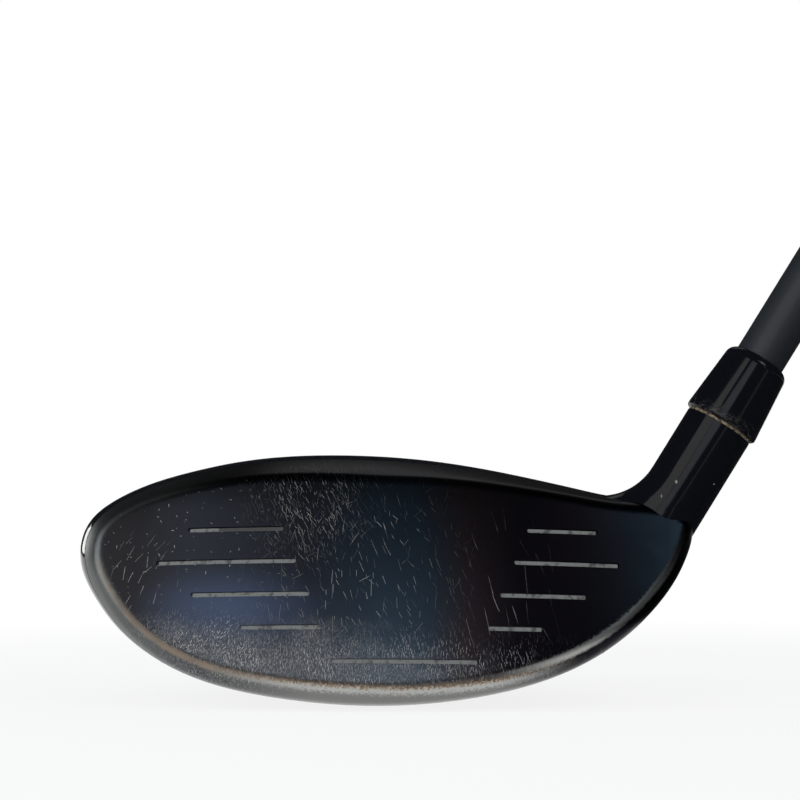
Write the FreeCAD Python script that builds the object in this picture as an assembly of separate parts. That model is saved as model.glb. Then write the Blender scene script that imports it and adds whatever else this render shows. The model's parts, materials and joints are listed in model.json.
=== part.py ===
"""Hybrid golf club with a screw-held head, in millimetres.

The club stands at address: the sole rests on the ground plane z = 0, the face looks to -Y,
the toe points to -X and the shaft leans to +X.  The origin is where the shaft's centre line
meets the ground.  Most pieces are turned about that line, so their profiles are written as
(radius, distance up the shaft line from the origin).
"""

import FreeCAD
import Part
import math
import os

Vector = FreeCAD.Vector

# ---------------------------------------------------------------- club as a whole
lie = 57.9                     # angle between shaft line and ground, degrees
loft = 17.5                    # how far the face leans back, degrees
club_length = 1016.0           # ground to butt end, along the shaft line
seam = 0.25                    # width of the open line where face cup and body meet
seam_depth = 0.35

# ---------------------------------------------------------------- head outline
# Largest outline of the head seen from the front (x, z), from the heel over the sole,
# the toe and the crown.
girth_outline = [
    (16.6, 14.8), (3.4, 6.2), (-14.0, 1.4), (-32.4, 0.0), (-50.0, 1.4), (-66.2, 5.4),
    (-78.3, 12.7), (-85.5, 22.2), (-87.1, 30.2), (-82.2, 36.4), (-70.6, 41.6),
    (-55.5, 44.9), (-40.7, 45.8), (-20.0, 44.5), (3.5, 39.9), (16.0, 37.4),
    (23.6, 35.6), (26.8, 32.2), (25.0, 26.0), (21.6, 20.3),
]
skirt_height = 28.0            # height of the widest line at the front
skirt_height_back = 23.5       # and at the trailing edge
back_length = 47.0             # from the largest outline to the trailing edge
plan_centre = -31.0            # x that the plan closes round at the front
plan_centre_back = -36.0       # and at the trailing edge
plan_power = 2.15              # how square the plan is
crown_power = 1.9              # how square the crown's fall is
sole_power = 2.5               # how square the sole's rise is
ring_points = 36

# ---------------------------------------------------------------- face
face_centre = Vector(-26.6, -14.8, 20.1)
face_radius = 330.0            # bulge and roll
face_thickness = 2.4
girth_depth = 14.0             # face plane to the largest outline
wall_inset = 3.3               # how much smaller the face's outline is than the girth
wall_inset_heel = 2.0          # taken off towards the heel
wall_inset_top = 1.5           # added at the top and taken off at the sole, toe to middle
toe_pull = 5.4                 # how far the face's toe end is drawn in besides
toe_pull_power = 3.0
wall_power = 1.6
wall_ring_depths = (-6.0, -1.0, 4.0, 9.0)
back_ring_angles = (0, 16, 32, 47, 60, 71, 80, 86)
face_edge_radius = 3.6
cup_depth = 9.0                # face plane to the end of the face cup
score_width = 0.9
score_depth = 0.35
# height above the face centre, inner ends, toe end and heel end from the face centre
score_rows = [
    (12.5, 22.4, 38.9, 34.3),
    (6.4, 20.0, 44.4, 38.1),
    (0.3, 17.4, 37.8, 32.0),
    (-5.8, 15.2, 28.7, 23.9),
]
low_score_height = -11.9
low_score_half = 12.4
score_tilt = 0.5               # how far the rows fall towards the heel, degrees

# ---------------------------------------------------------------- shell
shell_wall = 1.5
cup_edge_radius_inside = 2.0
crown_seam_front = 32.0        # height of the crown's edge at y = 0
crown_seam_back = 26.5         # and at y = 46
crown_seam_span = 46.0
ledge_width = 3.0
ledge_thickness = 1.0
inlay_depth = 0.7
inlay_gap = 0.06
inlay_centre = Vector(-33.0, 10.0, 0.0)
inlay_half_width = 17.0
inlay_half_length = 7.5
sole_weight_thickness = 4.0
sole_weight_half_width = 20.0
sole_weight_front = -12.0
sole_weight_back = 0.5
sole_weight_top = 9.0
damper_thickness = 1.6
damper_centre = Vector(-68.0, 12.0, 0.0)
damper_radius = 9.0
damper_top = 20.0              # how high it climbs the toe's wall

# ---------------------------------------------------------------- shaft tip and adapter sleeve
tip_radius = 4.7
tip_bottom = 32.0
tip_parallel = 150.0
tip_wall = 1.7
plug_length = 10.0
bond_gap = 0.02
sleeve_wall = 0.78
sleeve_radius = tip_radius + bond_gap + sleeve_wall
sleeve_bottom = 21.4
sleeve_top = 68.5

# ---------------------------------------------------------------- hosel
hosel_top = 60.0
bore_gap = 0.07
bore_radius = sleeve_radius + bore_gap
hosel_wall = 0.9
hosel_radius = bore_radius + hosel_wall
hosel_points = 24
core_step = 0.15               # how much slimmer the hosel is inside the head
core_overlap = 5.0             # length that the slim part runs up inside the flare
flare_start = 47.2             # where the hosel starts to widen, going down
flare_radius = 11.2
flare_turn = 62.0              # degrees that the flare's arc turns through
flare_heading = 165.0          # direction of the flare about the shaft line, 180 = toe
flare_end = 33.0
flare_round_back = 1.7         # how narrow the flare is on its back side
flare_round_front = 6.0        # and on the side of the face
spline_count = 8
spline_bottom = 55.0
spline_height = 0.42
spline_width = 1.5
spline_gap = 0.05
spline_root = 0.2              # how deep a key is let into the sleeve
spline_top_gap = 0.3           # sleeve's keys end this far under the hosel's rim
flare_steps = 6

# ---------------------------------------------------------------- collar and its seal
seal_thickness = 0.5
seal_step = 0.17               # how much smaller the seal is than the hosel
seal_radius = hosel_radius - seal_step
seal_gap = 0.05
collar_length = 14.2
collar_step = 0.63             # how far the collar stands proud of the hosel
collar_bottom_radius = hosel_radius + collar_step
collar_top_wall = 1.28
collar_top_radius = tip_radius + bond_gap + collar_top_wall
collar_shoulder = 2.0
collar_lip = 0.35
collar_foot = 1.05             # straight length at the collar's foot, lip included

# ---------------------------------------------------------------- shaft butt and grip
butt_radius = 7.6
butt_wall = 1.0
butt_parallel = 116.0          # length of the butt that doesn't taper
butt_parallel_start = club_length - butt_parallel
grip_lip = 1.2
grip_length = 267.0
grip_mouth_radius = 10.0
grip_butt_radius = 13.2
grip_neck = 18.0
tape_thickness = 0.2
tape_margin = 6.0
cap_thickness = 4.0
cap_spigot = 8.0
cap_spigot_wall = 1.6
cap_gap = 0.05
cap_round = 2.0
vent_radius = 1.6

# ---------------------------------------------------------------- hosel screw (M5)
web_bottom = 17.0
web_thickness = 3.6
web_top = web_bottom + web_thickness
thread_radius = 2.45
thread_gap = 0.05
web_gap = 0.25
screw_head_radius = 3.9
screw_head_height = 3.4
screw_length = 14.5
screw_head_round = 0.6
screw_socket = 4.0
socket_depth = 2.4
washer_rim = 0.45              # how far the washer stands out round the screw's head
washer_radius = screw_head_radius + washer_rim
washer_hole_gap = 0.12
washer_thickness = 1.0
port_gap = 0.4
port_radius = washer_radius + port_gap
insert_wall = 0.9
insert_end_gap = 1.0           # length left free between insert and shaft tip

# ---------------------------------------------------------------- rear weight
weight_place = Vector(-34.0, 21.0, 0.0)
weight_lean = 15.0             # how far its axis turns back from straight down, degrees
weight_radius = 6.6
weight_gap = 0.08
weight_thickness = 4.4
weight_recess = 0.7
weight_round = 0.5
boss_wall = 1.72
boss_radius = weight_radius + weight_gap + boss_wall
boss_depth = 12.5
boss_end = 1.0                 # metal left past the end of the screw's hole
weight_screw_radius = 1.95
weight_screw_head = 3.3
weight_screw_head_height = 2.2
weight_screw_length = 10.0
weight_screw_socket = 2.5
weight_screw_floor = 0.6       # metal under the socket
weight_screw_sink = 0.1        # how far the head sits under the puck's face
weight_seal_thickness = 0.6
weight_seal_inset = 0.3
weight_seal_width = 1.7

# ---------------------------------------------------------------- overshoot of cutters
margin = 1.0                   # past a flat end
reach = 10.0                   # past a curved skin
deep = 20.0                    # below the ground
far = 400.0                    # past everything


# ================================================================ frames and small helpers
shaft_turn = FreeCAD.Rotation(Vector(0, 1, 0), 90.0 - lie)
face_turn = FreeCAD.Rotation(Vector(1, 0, 0), 90.0 - loft)
face_normal = face_turn.multVec(Vector(0, 0, 1))


def on_shaft(shape):
    """Turn a shape made about Z onto the shaft line."""
    moved = shape.copy()
    moved.Placement = FreeCAD.Placement(Vector(0, 0, 0), shaft_turn).multiply(moved.Placement)
    return moved


def on_face(shape, depth=0.0):
    """Put a shape made on z = 0 onto the face plane, or `depth` behind it."""
    moved = shape.copy()
    base = face_centre - face_normal * depth
    moved.Placement = FreeCAD.Placement(base, face_turn).multiply(moved.Placement)
    return moved


def turned(profile):
    """Solid of revolution from a closed list of (radius, distance up the shaft)."""
    corners = [Vector(radius, 0, height) for radius, height in profile]
    wire = Part.makePolygon(corners + [corners[0]])
    return Part.Face(wire).revolve(Vector(0, 0, 0), Vector(0, 0, 1), 360)


def rod(radius, bottom, top):
    return Part.makeCylinder(radius, top - bottom, Vector(0, 0, bottom))


def tube(outer, inner, bottom, top):
    return rod(outer, bottom, top).cut(rod(inner, bottom, top))


def hexagon(across_flats, bottom, top):
    corner = across_flats / math.sqrt(3)
    points = [
        Vector(corner * math.cos(math.radians(60 * i)), corner * math.sin(math.radians(60 * i)), bottom)
        for i in range(7)
    ]
    return Part.Face(Part.makePolygon(points)).extrude(Vector(0, 0, top - bottom))


def half_space(depth):
    """Everything in front of the plane `depth` behind the face plane."""
    block = Part.makeBox(far, far, far, Vector(-far / 2, -far / 2, 0))
    return on_face(block, depth)


def solid_of(shape):
    """The one solid of a result, or its largest one."""
    return max(shape.Solids, key=lambda solid: solid.Volume)


# ================================================================ head form
def inset_outline(inset, pull=0.0):
    """Evenly spaced (x, z) on the girth outline, moved inwards.

    `inset` gives the move from the point's place across (toe -1, heel 1) and in height
    (sole -1, top 1), and `pull` draws the toe end in towards the heel.
    """
    curve = Part.BSplineCurve()
    curve.interpolate([Vector(x, 0, z) for x, z in girth_outline], PeriodicFlag=True)
    first = curve.FirstParameter
    last = curve.LastParameter
    samples = []
    for i in range(ring_points):
        at = first + (last - first) * i / ring_points
        place = curve.value(at)
        along = curve.tangent(at)[0]
        inwards = Vector(0, 1, 0).cross(along)
        if inwards.dot(Vector(plan_centre, 0, skirt_height) - place) < 0:
            inwards = inwards * -1
        samples.append((place, inwards))
    left = min(place.x for place, _ in samples)
    right = max(place.x for place, _ in samples)
    low = min(place.z for place, _ in samples)
    high = max(place.z for place, _ in samples)
    result = []
    for place, inwards in samples:
        across = 2 * (place.x - left) / (right - left) - 1
        rise = 2 * (place.z - low) / (high - low) - 1
        moved = place + inwards * inset(across, rise)
        result.append((moved.x + pull * max(0.0, -across) ** toe_pull_power, moved.z))
    return result


def ring(points, depth_at_centre, lean):
    """Closed smooth wire through (x, z) points, in a plane leaning back by `lean` degrees."""
    rise = math.tan(math.radians(lean))
    curve = Part.BSplineCurve()
    curve.interpolate(
        [Vector(x, depth_at_centre + (z - face_centre.z) * rise, z) for x, z in points],
        PeriodicFlag=True,
    )
    return Part.Wire(curve.toShape())


def face_inset_at(across, rise):
    heelward = max(0.0, across)
    return wall_inset - wall_inset_heel * heelward + wall_inset_top * rise * (1 - heelward)


def wall_rings(inset):
    """Rings from in front of the face back to the girth."""
    rings = []
    for depth in wall_ring_depths:
        growth = (1 - depth / girth_depth) ** wall_power
        points = inset_outline(
            lambda across, rise: inset + growth * face_inset_at(across, rise), toe_pull * growth
        )
        rings.append(ring(points, face_centre.y + depth / math.cos(math.radians(loft)), loft))
    return rings


def back_rings(inset):
    """Rings from the girth to the trailing edge, closing by an oval law."""
    rings = []
    length = back_length - inset
    girth = inset_outline(lambda across, rise: inset)
    start = face_centre.y + girth_depth / math.cos(math.radians(loft))
    for angle in back_ring_angles:
        reach = math.sin(math.radians(angle))
        across = (1 - reach ** plan_power) ** (1 / plan_power)
        above = (1 - reach ** crown_power) ** (1 / crown_power)
        below = (1 - reach ** sole_power) ** (1 / sole_power)
        centre_x = plan_centre + (plan_centre_back - plan_centre) * reach
        centre_z = skirt_height + (skirt_height_back - skirt_height) * reach
        points = []
        for x, z in girth:
            share = above if z > skirt_height else below * centre_z / skirt_height
            points.append(
                (centre_x + (x - plan_centre) * across, centre_z + (z - skirt_height) * share)
            )
        rings.append(ring(points, start + length * reach, loft * (1 - reach)))
    return rings


def head_form(inset, face_inset, edge_radius):
    """The head's outer form moved inwards by `inset`, with its face and rounded face edge."""
    form = Part.makeLoft(wall_rings(inset) + back_rings(inset), True, False)
    radius = face_radius - face_inset
    ball = Part.makeSphere(radius, face_centre - face_normal * face_radius)
    form = solid_of(form.common(ball))
    if edge_radius == 0:
        return form
    centre = ball.CenterOfMass
    face_edges = [
        edge for edge in form.Edges
        if edge.Length > 20
        and all(abs(v.Point.distanceToPoint(centre) - radius) < 0.01 for v in edge.Vertexes)
    ]
    return solid_of(form.makeFillet(edge_radius, face_edges))


def rounded_slot(inner, outer, height, width):
    """Bar with round ends along X, standing through the face plane."""
    radius = width / 2
    thickness = 2 * reach
    bar = Part.makeBox(outer - inner, width, thickness, Vector(inner, height - radius, -reach))
    for end in (inner, outer):
        bar = bar.fuse(Part.makeCylinder(radius, thickness, Vector(end, height, -reach)))
    bar.rotate(Vector(0, 0, 0), Vector(0, 0, 1), -score_tilt)
    return bar


def score_lines():
    """Cutter for the face's score lines, all of one depth under the curved face."""
    bars = []
    for height, inner, toe_end, heel_end in score_rows:
        bars.append(rounded_slot(-toe_end, -inner, height, score_width))
        bars.append(rounded_slot(inner, heel_end, height, score_width))
    bars.append(rounded_slot(-low_score_half, low_score_half, low_score_height, score_width))
    core = Part.makeSphere(face_radius - score_depth, face_centre - face_normal * face_radius)
    return [on_face(bar).cut(core) for bar in bars]


# ================================================================ hosel form
def hosel_form():
    """The hosel's outside, widening into the crown by an arc on its toe side."""
    sections = []
    turn = math.radians(flare_turn)
    arc_end = flare_start - flare_radius * math.sin(turn)
    arc_spread = flare_radius * (1 - math.cos(turn))
    straight = (hosel_top - flare_start) / 3
    heights = [hosel_top, hosel_top - straight, hosel_top - 2 * straight]
    heights += [
        flare_start - flare_radius * math.sin(turn * i / flare_steps)
        for i in range(flare_steps + 1)
    ]
    heights += [(arc_end + flare_end) / 2, flare_end]
    for height in heights:
        if height >= flare_start:
            spread = 0.0
        elif height >= arc_end:
            drop = flare_start - height
            spread = flare_radius - math.sqrt(flare_radius ** 2 - drop ** 2)
        else:
            spread = arc_spread + (arc_end - height) * math.tan(turn)
        points = []
        for i in range(hosel_points):
            angle = 2 * math.pi * i / hosel_points
            off = angle - math.radians(flare_heading)
            narrowness = flare_round_front if math.sin(off) > 0 else flare_round_back
            lobe = ((1 + math.cos(off)) / 2) ** narrowness
            radius = hosel_radius + spread * lobe
            points.append(Vector(radius * math.cos(angle), radius * math.sin(angle), height))
        curve = Part.BSplineCurve()
        curve.interpolate(points, PeriodicFlag=True)
        sections.append(Part.Wire(curve.toShape()))
    return on_shaft(Part.makeLoft(sections, True, False))


def splines(radius, height, width, bottom, top):
    """Straight keys about the shaft line, standing `height` proud of `radius`."""
    keys = []
    for i in range(spline_count):
        key = Part.makeBox(radius + height, width, top - bottom, Vector(0, -width / 2, bottom))
        key.rotate(Vector(0, 0, 0), Vector(0, 0, 1), 360.0 * i / spline_count)
        keys.append(key)
    wheel = keys[0].multiFuse(keys[1:])
    return wheel.common(rod(radius + height, bottom, top))


def hosel_bore():
    """Everything bored out along the shaft line: sleeve bore, web hole and wrench port."""
    cutter = rod(bore_radius, web_top, far / 2)
    cutter = cutter.fuse(
        splines(
            bore_radius, sleeve_radius + spline_height + spline_gap - bore_radius,
            spline_width + 2 * spline_gap, spline_bottom - margin, hosel_top + margin,
        )
    )
    cutter = cutter.fuse(rod(thread_radius + web_gap, web_bottom - margin, web_top + margin))
    cutter = cutter.fuse(rod(port_radius, -deep, web_bottom))
    # one spline round, which keeps the round walls' seams clear of the core's seam
    cutter.rotate(Vector(0, 0, 0), Vector(0, 0, 1), 360.0 / spline_count)
    return on_shaft(cutter)


# ================================================================ head pieces
def crown_side():
    """Everything above the line where crown and body meet."""
    slope = (crown_seam_back - crown_seam_front) / crown_seam_span
    block = Part.makeBox(far, far, far, Vector(-far / 2, -far / 2, 0))
    block.rotate(Vector(0, 0, 0), Vector(1, 0, 0), math.degrees(math.atan(slope)))
    block.translate(Vector(0, 0, crown_seam_front))
    return block


def on_sole(shape, place, direction):
    """Put a shape made about Z onto the head, with Z along `direction` from `place`."""
    moved = shape.copy()
    turn = FreeCAD.Rotation(Vector(0, 0, 1), direction)
    moved.Placement = FreeCAD.Placement(place, turn).multiply(moved.Placement)
    return moved


def lower_skin(form, place, direction):
    """Point where a line through `place` leaves the form's underside."""
    start = Vector(place.x, place.y, skirt_height_back)
    line = Part.makeLine(start, start + direction * far)
    inside = form.common(line)
    return max((v.Point for v in inside.Vertexes), key=lambda p: (p - start).dot(direction))


def rounded_panel(half_width, half_length, bottom, top):
    """Upright bar with half-round ends."""
    straight = half_width - half_length
    bar = Part.makeBox(
        2 * straight, 2 * half_length, top - bottom, Vector(-straight, -half_length, bottom)
    )
    for side in (-1, 1):
        bar = bar.fuse(
            Part.makeCylinder(half_length, top - bottom, Vector(side * straight, 0, bottom))
        )
    return bar


def head_pieces():
    """The welded and bonded pieces of the head, and the weight's place and direction."""
    outer = head_form(0.0, 0.0, face_edge_radius)
    cavity = head_form(shell_wall, face_thickness, cup_edge_radius_inside)
    hosel = hosel_form()
    core = on_shaft(rod(hosel_radius - core_step, -deep, flare_end + core_overlap))
    hosel_core = core.common(outer)
    hosel_skin = hosel.fuse(hosel_core)
    cup_front = half_space(cup_depth)
    above = crown_side()

    groove_slab = half_space(cup_depth + seam / 2).cut(half_space(cup_depth - seam / 2))
    seam_groove = groove_slab.common(outer).cut(head_form(seam_depth, seam_depth, face_edge_radius))

    face_cup = outer.common(cup_front).cut(cavity).cut(hosel_skin).cut(seam_groove)
    face_cup = face_cup.cut(Part.makeCompound(score_lines()))

    crown = outer.cut(cup_front).common(above).cut(cavity).cut(hosel_skin).cut(seam_groove)

    direction = Vector(
        0, math.sin(math.radians(weight_lean)), -math.cos(math.radians(weight_lean))
    )
    skin = lower_skin(outer, weight_place, direction)
    boss = on_sole(rod(boss_radius, -boss_depth, reach), skin, direction).common(outer)
    recess = rod(weight_radius + weight_gap, -weight_recess - weight_thickness, reach)
    recess = recess.fuse(rod(weight_screw_radius + thread_gap, boss_end - boss_depth, 0.0))
    recess = on_sole(recess, skin, direction)

    lining = head_form(shell_wall + ledge_thickness, face_thickness, 0)
    under = above.copy()
    under.translate(Vector(0, 0, -ledge_width))
    over = above.copy()
    over.translate(Vector(0, 0, ledge_width))
    ledge = cavity.cut(cup_front).common(under).cut(over).cut(lining)

    inlay_floor = head_form(inlay_depth, 0.0, 0)
    inlay_zone = rounded_panel(inlay_half_width, inlay_half_length, -reach, reach)
    inlay_zone.translate(inlay_centre)
    inlay_pocket = rounded_panel(
        inlay_half_width + inlay_gap, inlay_half_length + inlay_gap, -reach, reach
    )
    inlay_pocket.translate(inlay_centre)
    sole_inlay = outer.common(inlay_zone).cut(inlay_floor)

    body = outer.cut(cup_front).cut(above).cut(cavity).fuse([ledge, boss, hosel_skin])
    body = body.cut(hosel_bore()).cut(recess).cut(seam_groove)
    body = body.cut(inlay_pocket.cut(inlay_floor))

    weight_inside = head_form(shell_wall + sole_weight_thickness, face_thickness, 0)
    weight_zone = Part.makeBox(
        2 * sole_weight_half_width, sole_weight_back - sole_weight_front, sole_weight_top + reach,
        Vector(face_centre.x - sole_weight_half_width, sole_weight_front, -reach),
    )
    sole_weight = cavity.common(weight_zone).cut(weight_inside)

    damper_inside = head_form(shell_wall + damper_thickness, face_thickness, 0)
    damper_zone = rod(damper_radius, -reach, damper_top)
    damper_zone.translate(damper_centre)
    damper = cavity.common(damper_zone).cut(damper_inside)

    pieces = {
        "body_shell": body,
        "face_cup": face_cup,
        "crown": crown,
        "sole_inlay": sole_inlay,
        "sole_weight": sole_weight,
        "sound_damper": damper,
    }
    return pieces, skin, direction


def rear_weight_pieces(skin, direction):
    """Weight puck, its screw and its seal, in their recess."""
    face_level = -weight_recess
    floor_level = face_level - weight_thickness
    puck = rod(weight_radius, floor_level + weight_seal_thickness, face_level)
    rim = [e for e in puck.Edges if abs(e.CenterOfMass.z - face_level) < 0.01]
    puck = puck.makeFillet(weight_round, rim)
    head_seat = face_level - weight_screw_head_height
    puck = puck.cut(rod(weight_screw_head + weight_gap, head_seat, margin))
    puck = puck.cut(rod(weight_screw_radius + thread_gap, floor_level - margin, 0.0))
    screw = rod(weight_screw_head, head_seat, face_level - weight_screw_sink)
    screw = screw.fuse(rod(weight_screw_radius, face_level - weight_screw_length, head_seat))
    screw = screw.cut(hexagon(weight_screw_socket, head_seat + weight_screw_floor, margin))
    seal_radius_outside = weight_radius - weight_seal_inset
    seal = tube(
        seal_radius_outside, seal_radius_outside - weight_seal_width, floor_level,
        floor_level + weight_seal_thickness,
    )
    return {
        "rear_weight": on_sole(puck, skin, direction),
        "rear_weight_screw": on_sole(screw, skin, direction),
        "rear_weight_seal": on_sole(seal, skin, direction),
    }


# ================================================================ pieces on the shaft line
def shaft_radius(height):
    """Outside radius of the shaft: a parallel tip, an even taper and a parallel butt."""
    taper_start = tip_bottom + tip_parallel
    share = (height - taper_start) / (butt_parallel_start - taper_start)
    share = min(1.0, max(0.0, share))
    return tip_radius + (butt_radius - tip_radius) * share


def shaft_top():
    return club_length - cap_thickness


def shaft():
    taper_start = tip_bottom + tip_parallel
    top = shaft_top()
    return turned([
        (tip_radius - tip_wall, tip_bottom),
        (tip_radius, tip_bottom),
        (tip_radius, taper_start),
        (butt_radius, butt_parallel_start),
        (butt_radius, top),
        (butt_radius - butt_wall, top),
        (butt_radius - butt_wall, butt_parallel_start),
        (tip_radius - tip_wall, taper_start),
    ])


def adapter_sleeve():
    sleeve = rod(sleeve_radius, sleeve_bottom, sleeve_top)
    sleeve = sleeve.fuse(
        splines(
            sleeve_radius - spline_root, spline_height + spline_root, spline_width,
            spline_bottom, hosel_top - spline_top_gap,
        )
    )
    sleeve = sleeve.cut(rod(tip_radius + bond_gap, tip_bottom, sleeve_top + margin))
    insert_radius = thread_radius + thread_gap + insert_wall
    return sleeve.cut(rod(insert_radius, sleeve_bottom - margin, tip_bottom - insert_end_gap))


def thread_insert():
    inner = thread_radius + thread_gap
    return tube(inner + insert_wall, inner, sleeve_bottom, tip_bottom - insert_end_gap)


def collar():
    bottom = hosel_top + seal_thickness
    top = bottom + collar_length
    outside = turned([
        (0, bottom),
        (collar_bottom_radius - collar_lip, bottom),
        (collar_bottom_radius, bottom + collar_lip),
        (collar_bottom_radius, bottom + collar_foot),
        (collar_top_radius, top),
        (0, top),
    ])
    shoulder = [
        e for e in outside.Edges
        if abs(e.CenterOfMass.z - top) < 0.01 and e.Length > math.pi * collar_top_radius
    ]
    outside = outside.makeFillet(collar_shoulder, shoulder)
    outside = outside.cut(rod(sleeve_radius + bond_gap, bottom - margin, sleeve_top))
    return outside.cut(rod(tip_radius + bond_gap, sleeve_top - margin, top + margin))


def collar_seal():
    return tube(seal_radius, sleeve_radius + seal_gap, hosel_top, hosel_top + seal_thickness)


def tip_plug():
    radius = tip_radius - tip_wall
    return rod(radius, tip_bottom, tip_bottom + plug_length)


def grip_bottom():
    return club_length - grip_length


def tape_radius(height):
    return shaft_radius(height) + tape_thickness


def grip_tape():
    bottom = grip_bottom() + tape_margin
    top = shaft_top()
    return turned([
        (shaft_radius(bottom), bottom),
        (tape_radius(bottom), bottom),
        (tape_radius(butt_parallel_start), butt_parallel_start),
        (tape_radius(top), top),
        (shaft_radius(top), top),
        (shaft_radius(butt_parallel_start), butt_parallel_start),
    ])


def grip():
    bottom = grip_bottom()
    tape_start = bottom + tape_margin
    top = shaft_top()
    return turned([
        (shaft_radius(bottom), bottom),
        (shaft_radius(bottom) + grip_lip, bottom),
        (grip_mouth_radius, bottom + grip_neck),
        (grip_butt_radius, top),
        (tape_radius(top), top),
        (tape_radius(butt_parallel_start), butt_parallel_start),
        (tape_radius(tape_start), tape_start),
        (shaft_radius(tape_start), tape_start),
    ])


def grip_cap():
    """End cap with a hollow spigot in the shaft and a vent hole through its plate."""
    seat = shaft_top()
    cap = rod(grip_butt_radius, seat, club_length)
    rim = [e for e in cap.Edges if abs(e.CenterOfMass.z - club_length) < 0.01]
    cap = cap.makeFillet(cap_round, rim)
    outer = butt_radius - butt_wall - cap_gap
    cap = cap.fuse(tube(outer, outer - cap_spigot_wall, seat - cap_spigot, seat))
    return cap.cut(rod(vent_radius, seat - margin, club_length + margin))


def hosel_screw():
    head_top = web_bottom - washer_thickness
    bottom = head_top - screw_head_height
    screw = rod(screw_head_radius, bottom, head_top)
    rim = [e for e in screw.Edges if abs(e.CenterOfMass.z - bottom) < 0.01]
    screw = screw.makeFillet(screw_head_round, rim)
    screw = screw.fuse(rod(thread_radius, head_top, head_top + screw_length))
    return screw.cut(hexagon(screw_socket, bottom - margin, bottom + socket_depth))


def hosel_screw_washer():
    hole = thread_radius + washer_hole_gap
    return tube(washer_radius, hole, web_bottom - washer_thickness, web_bottom)


def shaft_line_pieces():
    made = {
        "shaft": shaft(),
        "adapter_sleeve": adapter_sleeve(),
        "thread_insert": thread_insert(),
        "collar": collar(),
        "collar_seal": collar_seal(),
        "tip_plug": tip_plug(),
        "grip_tape": grip_tape(),
        "grip": grip(),
        "grip_cap": grip_cap(),
        "hosel_screw": hosel_screw(),
        "hosel_screw_washer": hosel_screw_washer(),
    }
    return {name: on_shaft(shape) for name, shape in made.items()}


def main():
    os.makedirs("parts", exist_ok=True)
    pieces, skin, direction = head_pieces()
    pieces.update(rear_weight_pieces(skin, direction))
    pieces.update(shaft_line_pieces())
    for name, shape in pieces.items():
        solids = shape.Solids
        whole = solids[0] if len(solids) == 1 else Part.makeCompound(solids)
        print(name, len(solids), whole.isValid(), round(whole.Volume, 1))
        whole.exportStep("parts/" + name + ".step")
    print("weight seat", skin, direction)


main()
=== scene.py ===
"""Looks of an adjustable hybrid golf club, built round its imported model.

Sizes are in metres.  The club stands at address: toe to -X, face to -Y, up +Z, and the
shaft's centre line runs through the origin.
"""

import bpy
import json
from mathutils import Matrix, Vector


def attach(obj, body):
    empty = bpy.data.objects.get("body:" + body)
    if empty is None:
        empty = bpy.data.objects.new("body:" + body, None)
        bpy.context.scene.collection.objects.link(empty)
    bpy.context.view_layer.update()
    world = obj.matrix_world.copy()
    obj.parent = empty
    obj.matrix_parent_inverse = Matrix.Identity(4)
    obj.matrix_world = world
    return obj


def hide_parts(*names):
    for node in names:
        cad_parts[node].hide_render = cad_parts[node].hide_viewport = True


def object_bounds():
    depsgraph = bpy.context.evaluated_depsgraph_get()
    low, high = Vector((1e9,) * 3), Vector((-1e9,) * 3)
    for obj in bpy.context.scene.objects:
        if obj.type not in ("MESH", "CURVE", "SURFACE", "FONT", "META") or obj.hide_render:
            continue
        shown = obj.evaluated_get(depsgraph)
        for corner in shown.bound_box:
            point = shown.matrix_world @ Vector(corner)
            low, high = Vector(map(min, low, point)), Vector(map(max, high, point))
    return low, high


bl_info = {
    "name": "Hybrid club finishes",
    "version": (1, 0, 0),
    "blender": (4, 5, 0),
    "location": "3D View > Sidebar > Club",
    "description": "Finishes and fine detail of an adjustable hybrid golf club",
    "category": "Object",
}

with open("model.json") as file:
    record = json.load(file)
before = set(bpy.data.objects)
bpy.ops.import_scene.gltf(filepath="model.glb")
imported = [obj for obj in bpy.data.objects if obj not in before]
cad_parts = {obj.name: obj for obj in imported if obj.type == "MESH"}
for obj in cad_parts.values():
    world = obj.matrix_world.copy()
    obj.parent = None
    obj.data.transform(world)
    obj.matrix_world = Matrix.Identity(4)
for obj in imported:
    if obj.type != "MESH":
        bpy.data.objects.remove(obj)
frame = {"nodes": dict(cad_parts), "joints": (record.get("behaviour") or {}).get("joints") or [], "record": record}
CAD_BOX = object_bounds()

import json
import math

import bmesh
import bpy
from bpy.props import FloatProperty, FloatVectorProperty, IntProperty, PointerProperty
from mathutils import Matrix, Vector

MM = 0.001
MERGE_DISTANCE = 0.0005 * MM
UPRIGHT = Vector((0, 0, 1))


# ------------------------------------------------------------------ places from the frame
def joint(name):
    """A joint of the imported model."""
    return next(j for j in frame["joints"] if j["name"] == name)


def mount(name):
    """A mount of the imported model."""
    return next(m for m in frame["record"]["mounts"] if m["name"] == name)


UP_SHAFT = -Vector(joint("head_release")["axis"]).normalized()
SHAFT_TURN = UP_SHAFT.to_track_quat("Z", "Y").to_matrix().to_4x4()
FACE_CENTRE = Vector(mount("face_centre")["pos_m"])
FACE_NORMAL = Vector(mount("face_centre")["axis"]).normalized()


def along_shaft(node):
    """Lowest and highest distance of a node from the origin along the shaft line."""
    steps = [v.co.dot(UP_SHAFT) for v in frame["nodes"][node].data.vertices]
    return min(steps), max(steps)


# ------------------------------------------------------------------ sizes and colours
def colour(name, value, description):
    return FloatVectorProperty(
        name=name, description=description, subtype="COLOR", size=3, min=0, max=1, default=value
    )


def length(name, value, description):
    return FloatProperty(
        name=name, description=description, subtype="DISTANCE", unit="LENGTH", default=value,
        precision=5,
    )


def share(name, value, description):
    return FloatProperty(
        name=name, description=description, subtype="FACTOR", min=0, max=1, default=value
    )


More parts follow.
